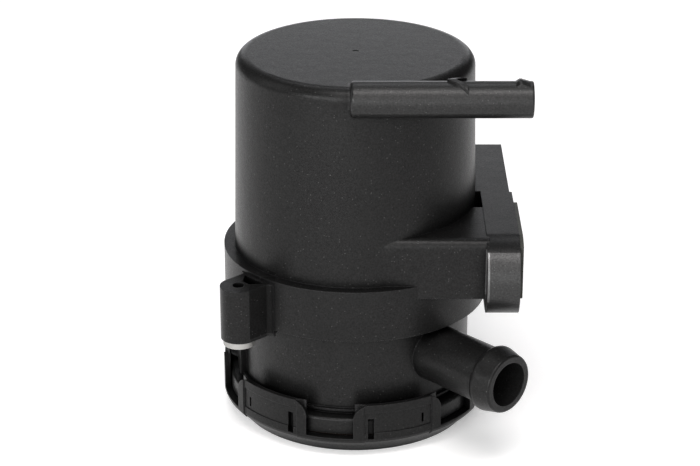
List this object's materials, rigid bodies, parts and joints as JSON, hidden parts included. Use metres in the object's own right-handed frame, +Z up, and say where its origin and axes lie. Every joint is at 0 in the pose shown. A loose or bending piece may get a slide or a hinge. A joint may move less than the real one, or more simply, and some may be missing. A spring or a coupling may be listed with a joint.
{
  "type": "crankcase oil separator",
  "caption": "Black moulded crankcase oil separator: upright canister with a side flange duct, drain tube, bracket boss, barbed outlet pipe and clipped regulator cover.",
  "frame": {"origin": "on the canister axis, on the flat outer face of the regulator cover that the part stands on", "axes": "+Z up the canister axis to its closed end, +X along the drain tube towards the engine flange, +Y completes a right-handed frame and points away from the camera"},
  "size_m": [0.1211, 0.1267, 0.1553],
  "materials": {
    "housing_plastic": "black glass-filled nylon, fine moulded grain",
    "cover_plastic": "black nylon, fine moulded grain",
    "inner_plastic": "black nylon, plain",
    "natural_plastic": "natural off-white nylon",
    "seal_rubber": "black rubber, smooth",
    "flange_rubber": "very dark olive rubber, smooth",
    "diaphragm_rubber": "dark brown fabric-backed rubber",
    "spring_steel": "drawn spring wire",
    "plated_steel": "zinc-plated, turned",
    "insert_metal": "turned, matt light grey",
    "fleece": "needled polyester fleece",
    "vent_plug": "sintered, open-pored"
  },
  "bodies": {
    "housing": {"upper_housing": "housing_plastic", "lower_housing": "housing_plastic", "regulator_cover": "cover_plastic", "diaphragm": "diaphragm_rubber", "regulator_spring": "spring_steel", "vent_filter": "vent_plug", "housing_seal": "seal_rubber", "flange_seal": "flange_rubber", "flange_bush": "plated_steel", "boss_insert": "insert_metal", "outlet_divider": "inner_plastic", "divider_seal": "seal_rubber", "element_bottom_cap": "inner_plastic", "element_core": "inner_plastic", "element_fleece": "fleece", "element_top_cap": "inner_plastic", "element_seal": "seal_rubber", "bypass_spring": "spring_steel", "bypass_cage": "inner_plastic"},
    "regulator": {"diaphragm_plate": "natural_plastic", "diaphragm_cup": "natural_plastic", "valve_pad": "seal_rubber"},
    "bypass": {"bypass_disc": "natural_plastic"}
  },
  "joints": [
    {"name": "regulator_lift", "type": "slide", "parent": "housing", "child": "regulator", "axis": [0, 0, 1], "range_m": [0, 0.005], "stiffness_N_per_m": 600, "springref_m": -0.009, "deforming": ["regulator_spring", "diaphragm"]},
    {"name": "bypass_open", "type": "slide", "parent": "housing", "child": "bypass", "axis": [0, 0, -1], "range_m": [0, 0.004], "stiffness_N_per_m": 200, "springref_m": -0.006, "deforming": ["bypass_spring"]}
  ]
}
